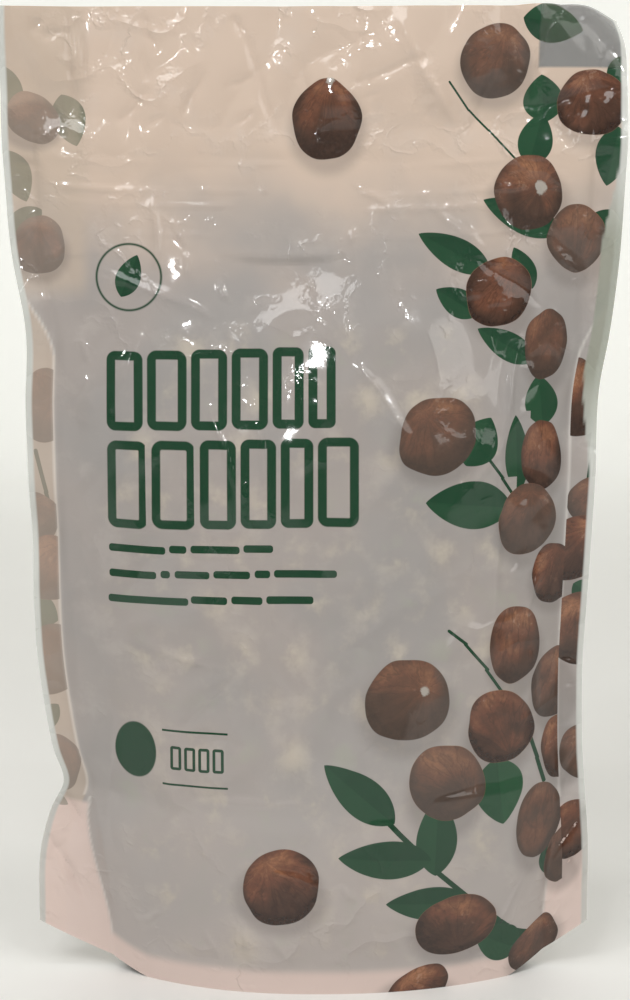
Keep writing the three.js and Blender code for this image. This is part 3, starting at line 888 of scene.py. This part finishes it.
class PrintSheet:
    # The print of one film: which nut, leaf or bar lies on each face, as coordinates of its own. x is taken
    # across the filled pouch, so that the print stays upright. An item lies between the side folds or
    # beyond them.
    empty = 9.0  # a coordinate that no item covers

    def __init__(self, mesh, u, x, v):
        self.mesh = mesh
        corners = np.empty(len(mesh.loops), np.int32)
        mesh.loops.foreach_get("vertex_index", corners)
        self.x, self.v = x[corners], v[corners]
        faceU, faceV = [values[corners].reshape(-1, 4).mean(1).repeat(4) for values in (u, v)]
        inside = np.abs(faceU) < foldAt(faceV)
        self.zones = {"middle": inside, "side": ~inside}
        self.layers = {}
        self.used = {}

    def stamp(self, layers, centre, half, turn, reach, extra, zone="middle"):
        # writes the item's own coordinates on the faces that it may cover, in the first free layer
        angle = math.radians(turn)
        offX, offV = self.x - centre[0] * drawIn(centre[1]), self.v - centre[1]
        x = (offX * math.cos(angle) - offV * math.sin(angle)) / half[0]
        y = (offX * math.sin(angle) + offV * math.cos(angle)) / half[1]
        near = ((np.abs(x) < reach[0]) & (np.abs(y) < reach[1])).reshape(-1, 4).any(1).repeat(4)
        near &= self.zones[zone]
        for layer in layers:
            used = self.used.setdefault(layer, np.zeros(len(near), bool))
            if not (used & near).any() or layer == layers[-1]:
                break
        used |= near
        for name, columns in extra(layer, x, y).items():
            store = self.layers.setdefault(name, np.full((len(near), 3), self.empty, np.float32))
            store[near] = np.stack(np.broadcast_arrays(*columns, x)[:3], 1)[near]

    def nut(self, number, centre, half, turn, tip, zone):
        def extra(layer, x, y):
            seed = (number * 3.7 + 1) * (1 if tip[2] else -1)  # below zero for a nut without a pale tip
            return {layer: (x, y, (self.v - centre[1]) / half[1]), layer + "More": (seed, tip[0], tip[1])}

        self.stamp(nutLayers, centre, half, turn, (1.25, 1.25), extra, zone)

    def leaf(self, start, end, halfAcross, tone, zone="middle"):
        middle = ((start[0] + end[0]) / 2, (start[1] + end[1]) / 2)
        along = (end[0] - start[0], end[1] - start[1])
        turn = -math.degrees(math.atan2(along[1], along[0]))
        half = (math.hypot(*along) / 2, halfAcross)

        def extra(layer, x, y):
            return {layer: (x, y, tone)}

        self.stamp(leafLayers, middle, half, turn, (1.02, 1.15), extra, zone)

    def bar(self, start, end, halfAcross, corner=1.0, stroke=empty, zone="middle"):
        # the corner's radius and the outline's stroke are shares of the half width
        middle = ((start[0] + end[0]) / 2, (start[1] + end[1]) / 2)
        along = (end[0] - start[0], end[1] - start[1])
        length = math.hypot(*along) / 2 / halfAcross + 1
        turn = -math.degrees(math.atan2(along[1], along[0]))

        def extra(layer, x, y):
            return {layer: (x, y, length), layer + "Form": (corner, stroke, 0)}

        self.stamp(barLayers, middle, (halfAcross, halfAcross), turn, (length + 0.2, 1.2), extra, zone)

    def oval(self, centre, half):
        def extra(layer, x, y):
            return {layer: (x, y, 1), layer + "Form": (1, self.empty, 0)}

        self.stamp(barLayers, centre, half, 0, (1.1, 1.1), extra)

    def block(self, left, bottom, width, height, stroke):
        middle, low, high = left + width / 2, bottom + width / 2, bottom + height - width / 2
        self.bar((middle, low), (middle, high), width / 2, 0.5, stroke / width)

    def layOut(self, layout):
        for zone, prefix in (("middle", ""), ("side", "side ")):
            for number, (centre, half, turn, tip) in enumerate(layout[prefix + "nuts"]):
                self.nut(number, centre, half, turn, tip, zone)
            for start, end, halfAcross, tone in layout[prefix + "leaves"]:
                self.leaf(start, end, halfAcross, tone, zone)
            for points, width in layout[prefix + "stems"]:
                for start, end in zip(points, points[1:]):
                    self.bar(start, end, width / 2, zone=zone)
        centre, radius, width = layout["ring"]
        self.bar(centre, (centre[0], centre[1] + 0.001), radius, 1.0, width / radius)
        self.leaf((centre[0] - 2, centre[1] - 5), (centre[0] + 2.2, centre[1] + 5.6), 3.2, 0.0)
        self.rows(layout)
        for left, height, length in layout["rules"]:
            self.bar((left, height), (left + length, height), 0.28, 0.2)
        (left, middle), widths, height = layout["smallBlocks"]
        for width in widths:
            self.block(left, middle - height / 2, width, height, 1.5)
            left += width + 0.9
        self.oval(*layout["oval"])

    def rows(self, layout):
        # rows of blocks and of bars, climbing a little to the right
        for (first, bottom), widths, height in layout["blocks"]:
            left = first
            for width in widths:
                self.block(left, bottom + (left - first) * layout["tilt"], width - 1.5, height, 4.6)
                left += width
        for first, middle, lengths in layout["lines"]:
            left = first
            for length in lengths:
                here = middle + (left - first) * layout["tilt"]
                self.bar((left + 1, here), (left + length - 1, here), 1.0, 0.8)
                left += length + 1.6

    def write(self):
        forms = [layer + "More" for layer in nutLayers] + [layer + "Form" for layer in barLayers]
        unused = np.full((len(self.x), 3), self.empty)
        for name in nutLayers + leafLayers + barLayers + forms:
            vectorValues(self.mesh, name, self.layers.get(name, unused), "CORNER")


def newGrid(name, columns, rows):
    # a flat grid, from -1 to 1 both ways, as an object and its coordinates
    bpy.ops.object.select_all(action="DESELECT")
    bpy.ops.mesh.primitive_grid_add(x_subdivisions=columns, y_subdivisions=rows, size=2)
    made = bpy.context.object
    made.name = made.data.name = name
    flat = np.empty(len(made.data.vertices) * 3)
    made.data.vertices.foreach_get("co", flat)
    return made, flat.reshape(-1, 3)


def setPoints(made, points):
    made.data.vertices.foreach_set("co", points.astype(np.float32).ravel())
    made.data.update()


def selectOnly(made):
    bpy.ops.object.select_all(action="DESELECT")
    made.select_set(True)
    bpy.context.view_layer.objects.active = made


def giveAway(made, material, node):
    # hands a finished piece over to the frame
    made.data.materials.append(material)
    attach(made, "root")
    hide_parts(node)


# The two printed panels: a fine grid each, and where the marks on it lie and how wide they are. Pairs are
# from and to.
panel = {
    "columns": 238,
    "rows": 390,
    "touch": 4.6,
    # the width of the painted highlight line
    "seam": 0.4,
    "rim": 2.0,
    "widerRim": 3.2,
    "rimWidens": (130, 164),
    "rimNarrows": (190, 214),
    "cornerTop": (41, 43),
    "cornerEdge": (-0.5, 0.7),
    "baseTop": (4.5, 7.5),
    "clearCorner": ((56.5, 57), (236.5, 237)),
    "faded": ((-61, -56), (176, 184)),
    "nutShade": (1.25, 1.15, 0.32),  # its width and height, and how far it hangs, as shares of the nut's
}


def markFilm(mesh, name, side, u, v, layout):
    # how strongly each point is shaded, pressed by a kernel, sealed, faded, lit by the painted edge highlight
    # and so on, from 0 to 1
    seenU, seenX = -side * u, -side * filledX(u, v)  # the back is laid out as it is seen from behind
    vectorValues(mesh, "filmPlace", np.stack([seenU, v, np.full(len(u), 40.0 * side)], 1))
    touch, shade = np.zeros(len(u)), np.zeros(len(u))
    for kernelU, kernelV in kernelsBehind(name):
        touch += np.exp(-(((u - kernelU) ** 2 + (v - kernelV) ** 2) / panel["touch"] ** 2))
    wider, taller, hang = panel["nutShade"]
    for centre, half, _, _ in layout["nuts"]:
        offX = (seenX - centre[0] * drawIn(centre[1])) / (half[0] * wider)
        offV = (v - centre[1] + hang * half[1]) / (half[1] * taller)
        shade = np.maximum(shade, 1 - smoothStep(np.hypot(offX, offV), 0.72, 1.08))
    belowFold = 1 - smoothStep(v, *panel["cornerTop"])
    corner = smoothStep(np.abs(u) - sealedFrom(u, v), *panel["cornerEdge"]) * belowFold
    base = 1 - smoothStep(v, *panel["baseTop"])
    wide = smoothStep(v, *panel["rimWidens"]) * (1 - smoothStep(v, *panel["rimNarrows"])) * (seenU > 0)
    rimFrom = halfWidth - panel["rim"] - panel["widerRim"] * wide
    # where the painted highlight line runs: the seal edge below the gusset's fold, the side fold above it
    edgeHighlightAt = np.where(v < pouch["gussetFold"] + 2, sealedFrom(u, v), foldAt(v))
    fadedX, fadedV = panel["faded"]
    clearX, clearV = panel["clearCorner"]
    header = (1 - smoothStep(seenX, *fadedX)) * smoothStep(v, *fadedV)
    values = {
        "touch": np.clip(touch, 0, 1),
        "shade": shade,
        "sealed": np.maximum(corner, base) * 0.9,
        "rim": smoothStep(np.abs(u), rimFrom, rimFrom + 0.4),
        "rimShade": wide,
        "seam": np.exp(-(((np.abs(u) - edgeHighlightAt) / panel["seam"]) ** 2)),
        "clearCorner": smoothStep(seenX, *clearX) * smoothStep(v, *clearV) * (side < 0),
        "fade": np.maximum(seenU < -foldAt(v), header),
    }
    for mark in filmMarks:
        pointValues(mesh, mark, values[mark])
    return seenX


def filmPanel(name, side, layout):
    made, flat = newGrid(name + "Film", panel["columns"], panel["rows"])
    u, v = flat[:, 0] * halfWidth, (flat[:, 1] + 1) / 2 * pouch["height"]
    depth = innerDepth(u, v) + pouch["film"] + filmRelief(u, v, name)
    setPoints(made, settle(u, side * np.maximum(depth, pouch["film"]), v))
    sheet = PrintSheet(made.data, u, markFilm(made.data, name, side, u, v, layout), v)
    sheet.layOut(layout)
    sheet.write()
    selectOnly(made)
    if side > 0:
        bpy.ops.object.mode_set(mode="EDIT")
        bpy.ops.mesh.select_all(action="SELECT")
        bpy.ops.mesh.flip_normals()
        bpy.ops.object.mode_set(mode="OBJECT")
    bpy.ops.object.shade_smooth()
    giveAway(made, filmMaterial, name + "_panel")
    print(name, "film:", len(made.data.polygons), "faces")


filmMaterial = filmInk()
filmPanel("front", -1, frontPrint)
filmPanel("back", 1, backPrint)


# The base gusset: a skirt against each panel, and the folded span between them.
def baseFilmPaint():
    paint = Paint("baseFilm")
    place = paint.attribute("filmPlace")
    cloud = paint.noise(place, 0.05, 3.0)
    crinkle = paint.noise(place, 0.2, 4.0, 0.6)
    colour = paint.mix(cloud, inks["seal"], (0.62, 0.50, 0.45))
    # a painted highlight: lighter on the crests of the crinkles that the bump raises
    colour = paint.mix(paint.step(crinkle, 0.6, 0.75) * 0.4, colour, (0.82, 0.74, 0.70))
    bump = paint.bump(crinkle + cloud, 0.6, 0.0004)
    gloss = paint.step(crinkle, 0.3, 0.7, 0.18, 0.34)
    alpha = paint.step(cloud, 0.3, 0.7, 0.84, 0.92)
    return paint.finish(Base_Color=colour, Roughness=gloss, Alpha=alpha, Normal=bump)


def gussetFilm():
    made, flat = newGrid("gussetFilm", gusset["columns"], gusset["rows"])
    x, row = flat[:, 0] * halfWidth, flat[:, 1]
    skirt = gusset["skirt"]
    along = np.minimum(1, np.abs(x) / sealedFrom(x, 20))
    seam = seamHeight(along)
    onSkirt = np.abs(row) > 1 - skirt
    across = np.clip(row / (1 - skirt), -1, 1)
    rise = np.clip((1 - np.abs(row)) / skirt, 0, 1)
    z = np.where(onSkirt, seam * rise, gussetHeight(along, across) - gusset["sag"])
    crumple = 0.5 * ripple(x, row * 30, 22, 71) + 0.35 * np.abs(ripple(x, row * 30, 13, 72))
    lifted = smoothStep(z, 1.0, 6) * (1 - smoothStep(np.abs(row), 0.6, 0.78)) * (1 - along**6)
    depth = innerDepth(x, z) - pouch["layerGap"]
    y = np.where(onSkirt, np.sign(row) * depth, across * (innerDepth(x, seam) - pouch["layerGap"]))
    setPoints(made, settle(x, y, np.maximum(0, z + crumple * lifted)))
    vectorValues(made.data, "filmPlace", np.stack([x, row * 60, np.zeros(len(x))], 1))
    selectOnly(made)
    wall = made.modifiers.new("filmThickness", "SOLIDIFY")
    wall.thickness = pouch["film"] * mm
    wall.offset = -1
    bpy.ops.object.modifier_apply(modifier=wall.name)
    bpy.ops.object.shade_smooth_by_angle(angle=math.radians(60))
    giveAway(made, baseFilmPaint(), "base_gusset")


gussetFilm()
print("gusset done")


def zipPlastic():
    paint = Paint("zipPlastic")
    stretched = paint.node("Mapping", None, {"Vector": paint.objectPlace(), "Scale": (30, 900, 900)})
    streaks = paint.noise(stretched, 1.0, 2.0)
    colour = paint.mix(streaks, (0.74, 0.70, 0.66), (0.86, 0.84, 0.80))
    gloss = paint.step(streaks, 0.3, 0.7, 0.28, 0.42)
    return paint.finish(Base_Color=colour, Roughness=gloss, Normal=paint.bump(streaks, 0.3, 0.0001))


def zipStrip(name, material):
    part = zipParts[name]
    half = pouch["zipFlange"] / 2
    bpy.ops.object.select_all(action="DESELECT")
    bpy.ops.mesh.primitive_cube_add(size=2)
    made = bpy.context.object
    made.name = made.data.name = name
    bpy.ops.object.mode_set(mode="EDIT")
    bpy.ops.transform.resize(value=(zipParts["reach"], half, zipParts["flange"] / 2))
    for cut in [edge for ridge in part["ridges"] for edge in ridge]:
        bpy.ops.mesh.select_all(action="SELECT")
        bpy.ops.mesh.bisect(plane_co=(0, cut, 0), plane_no=(0, 1, 0))
    bpy.ops.object.mode_set(mode="OBJECT")
    for face in made.data.polygons:
        inRidge = any(low < face.center.y < high for low, high in part["ridges"])
        face.select = inRidge and face.normal.z > 0.9
    bpy.ops.object.mode_set(mode="EDIT")
    bpy.ops.mesh.select_mode(type="FACE")
    bpy.ops.mesh.extrude_region_move(TRANSFORM_OT_translate={"value": (0, 0, part["height"])})
    for step in range(1, zipParts["slices"]):
        bpy.ops.mesh.select_all(action="SELECT")
        place = zipParts["reach"] * (2 * step / zipParts["slices"] - 1)
        bpy.ops.mesh.bisect(plane_co=(place, 0, 0), plane_no=(1, 0, 0))
    bpy.ops.mesh.select_all(action="SELECT")
    bpy.ops.mesh.normals_make_consistent(inside=False)
    if part["side"] < 0:
        bpy.ops.mesh.flip_normals()  # the mapping below mirrors this strip
    bpy.ops.object.mode_set(mode="OBJECT")
    flat = np.empty(len(made.data.vertices) * 3)
    made.data.vertices.foreach_get("co", flat)
    x, y, z = flat.reshape(-1, 3).T
    v = pouch["zipHeight"] + y - zipSag(x)
    depth = innerDepth(x, v) - zipParts["gap"] - (z + zipParts["flange"] / 2)
    setPoints(made, settle(x, part["side"] * depth, v))
    bpy.ops.object.shade_smooth_by_angle(angle=math.radians(30))
    giveAway(made, material, part["node"])


zipMaterial = zipPlastic()
zipStrip("zipRibStrip", zipMaterial)
zipStrip("zipGrooveStrip", zipMaterial)
print("zip done")


# The kernels: one is modelled, and each row is made of turned copies of it.
def kernelSkin():
    paint = Paint("kernelSkin")
    tint = paint.attribute("tint", "Fac")
    own = paint.attribute("ownPlace")
    x, y, z = paint.split(own)
    angle = paint.maths("ARCTAN2", x, y)
    ribs = paint.noise(paint.join(angle * 4.0, z * 0.8, tint * 9.0), 1.0, 3.0)
    clouds = paint.noise(paint.join(x, y, z + tint * 5.0), 1.8, 3.0)
    colour = paint.mix(paint.step(ribs, 0.3, 0.7), (0.10, 0.042, 0.020), (0.26, 0.125, 0.062))
    colour = paint.mix(tint * 0.4, colour, (0.42, 0.27, 0.15))
    colour = paint.mix(paint.step(clouds, 0.60, 0.72) * 0.7, colour, (0.62, 0.48, 0.32))
    colour = paint.mix(paint.step(z, 0.75, 0.95) * 0.8, colour, (0.55, 0.42, 0.30))
    gloss = paint.step(clouds, 0.3, 0.7, 0.48, 0.7)
    return paint.finish(Base_Color=colour, Roughness=gloss, Normal=paint.bump(ribs, 0.6, 0.0004))


def pickPoints(made, wanted):
    # selects the points whose height is wanted, and goes on in edit mode
    bpy.ops.object.mode_set(mode="EDIT")
    bpy.ops.mesh.select_mode(type="VERT")
    bpy.ops.mesh.select_all(action="DESELECT")
    bpy.ops.object.mode_set(mode="OBJECT")
    for vertex in made.data.vertices:
        vertex.select = wanted(vertex.co.z)
    bpy.ops.object.mode_set(mode="EDIT")


def oneKernel():
    # a ball with a narrower top and a flatter bottom
    bpy.ops.object.select_all(action="DESELECT")
    bpy.ops.mesh.primitive_uv_sphere_add(segments=9, ring_count=7, radius=1)
    made = bpy.context.object
    pickPoints(made, lambda height: height > 0.55)
    bpy.ops.transform.resize(value=(0.82, 0.82, 1.0))
    pickPoints(made, lambda height: height < -0.6)
    bpy.ops.transform.translate(value=(0, 0, 0.14))
    bpy.ops.object.mode_set(mode="OBJECT")
    bpy.ops.object.shade_smooth()
    points = np.empty(len(made.data.vertices) * 3, np.float32)
    made.data.vertices.foreach_get("co", points)
    vectorValues(made.data, "ownPlace", points)
    made.data.materials.append(kernelSkin())
    return made


def kernelCopy(pattern, centre, draw):
    mesh = pattern.data.copy()
    pointValues(mesh, "tint", np.full(len(mesh.vertices), draw.random()))
    size = kernels["radius"] * mm * draw.uniform(*kernels["size"])
    turned = Matrix.Rotation(draw.uniform(0, math.tau), 4, "Z")
    turned = turned @ Matrix.Rotation(draw.uniform(0, math.pi), 4, "X")
    squeezed = Matrix.Diagonal((draw.uniform(*kernels["squeeze"]), draw.uniform(*kernels["squeeze"]), 1, 1))
    mesh.transform(Matrix.Translation(Vector(centre)) @ turned @ squeezed @ Matrix.Scale(size, 4))
    made = bpy.data.objects.new("kernel", mesh)
    bpy.context.scene.collection.objects.link(made)
    return made


pattern = oneKernel()
draw = random.Random(7)
for node, places in kernelPlaces.items():
    copies = [kernelCopy(pattern, centre, draw) for _, _, centre in places]
    selectOnly(copies[0])
    for copy in copies:
        copy.select_set(True)
    bpy.ops.object.join()
    row = bpy.context.object
    _, fileName, _, number = node.split("_")
    row.name = row.data.name = fileName + "KernelRow" + number
    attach(row, "root")
    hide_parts(node)
bpy.data.objects.remove(pattern)
print("kernel rows done")


# Floor, lights and camera. Lights are a name, a place, a size, a power and a colour.
studio = {
    "floor": (0.78, 0.77, 0.75),
    "floorGrain": (0.82, 0.81, 0.79),
    "floorSize": 6,
    "backdropAt": 2.2,
    "backdropHeight": 3,
    "backdropSweep": 1.1,
    "backdropGlow": 0.42,
    "glowColour": (0.98, 1, 0.95),
    "aim": (0, 0, 0.12),
    "lights": [
        ("keyLight", (-0.5, -1.1, 1.3), (0.7, 0.7), 7.8, (1, 1, 1)),
        ("fillLight", (0.9, -0.9, 0.7), (0.5, 0.7), 2.6, (1.0, 0.97, 0.93)),
        ("topStrip", (0.0, -0.3, 1.1), (1.2, 0.12), 2.4, (1, 1, 1)),
    ],
    # small bright lamps that glint in the film's creases
    "glints": [
        (-0.62, -0.9, 0.95), (0.55, -1.1, 0.9), (0.1, -1.3, 1.15), (-0.3, -1.0, 0.55),
        (0.8, -0.5, 0.6), (-0.9, -0.4, 0.5), (-0.2, -0.9, 1.3), (0.35, -0.8, 1.2),
    ],
    "glintAim": (0, 0, 0.14),
    "glintLamp": ((0.022, 0.022), 0.72, (1, 1, 1)),  # size, power and colour
    "sky": (0.92, 0.94, 0.93, 1),
    "skyStrength": 0.166,
    "look": (0, 0, 0.126),
    "distance": 0.6,
    "elevation": 8,
    "azimuth": 0,
    "lens": 83,
}


def floorPaint():
    # the backdrop glows more the further back it is
    paint = Paint("paleFloor")
    place = paint.objectPlace()
    grain = paint.noise(place, 14.0, 3.0)
    colour = paint.mix(grain, studio["floor"], studio["floorGrain"])
    _, y, _ = paint.split(place)
    glow = paint.mix(paint.step(y, 0.3, 1.9), (0, 0, 0), studio["glowColour"])
    gloss = paint.step(grain, 0.3, 0.7, 0.4, 0.5)
    power = studio["backdropGlow"]
    return paint.finish(Base_Color=colour, Roughness=gloss, Emission_Color=glow, Emission_Strength=power)


bpy.ops.object.select_all(action="DESELECT")
bpy.ops.mesh.primitive_plane_add(size=studio["floorSize"])
floor = bpy.context.object
floor.name = "studioFloor"
bpy.ops.object.mode_set(mode="EDIT")
bpy.ops.transform.translate(value=(0, studio["backdropAt"] - studio["floorSize"] / 2, 0))
bpy.ops.object.mode_set(mode="OBJECT")
for edge in floor.data.edges:
    edge.select = all(floor.data.vertices[i].co.y > 0 for i in edge.vertices)
bpy.ops.object.mode_set(mode="EDIT")
bpy.ops.mesh.select_mode(type="EDGE")
bpy.ops.mesh.extrude_region_move(TRANSFORM_OT_translate={"value": (0, 0, studio["backdropHeight"])})
bpy.ops.object.mode_set(mode="OBJECT")
sweep = floor.modifiers.new("sweep", "BEVEL")
sweep.width, sweep.segments = studio["backdropSweep"], 20
floor.data.materials.append(floorPaint())
bpy.ops.object.shade_smooth()


def softLight(name, place, target, size, power, colour):
    lamp = bpy.data.lights.new(name, "AREA")
    lamp.shape = "RECTANGLE"
    lamp.size, lamp.size_y = size
    lamp.energy = power
    lamp.color = colour
    made = bpy.data.objects.new(name, lamp)
    bpy.context.scene.collection.objects.link(made)
    made.location = place
    made.rotation_euler = (Vector(target) - Vector(place)).to_track_quat("-Z", "Y").to_euler()


for name, place, *lamp in studio["lights"]:
    softLight(name, place, studio["aim"], *lamp)
for number, place in enumerate(studio["glints"]):
    softLight("glint" + str(number), place, studio["glintAim"], *studio["glintLamp"])

world = bpy.data.worlds.new("studioWorld")
bpy.context.scene.world = world
world.use_nodes = True
sky = world.node_tree.nodes["Background"]
sky.inputs["Color"].default_value = studio["sky"]
sky.inputs["Strength"].default_value = studio["skyStrength"]

camera = bpy.data.objects.new("camera", bpy.data.cameras.new("camera"))
bpy.context.scene.collection.objects.link(camera)
bpy.context.scene.camera = camera
camera.data.lens = studio["lens"]
elevation, azimuth = math.radians(studio["elevation"]), math.radians(studio["azimuth"])
level = math.cos(elevation)
back = Vector((math.sin(azimuth) * level, -math.cos(azimuth) * level, math.sin(elevation)))
camera.location = Vector(studio["look"]) + back * studio["distance"]
camera.rotation_euler = (-back).to_track_quat("-Z", "Y").to_euler()
bpy.context.scene.view_settings.view_transform = "Standard"
print("studio done")
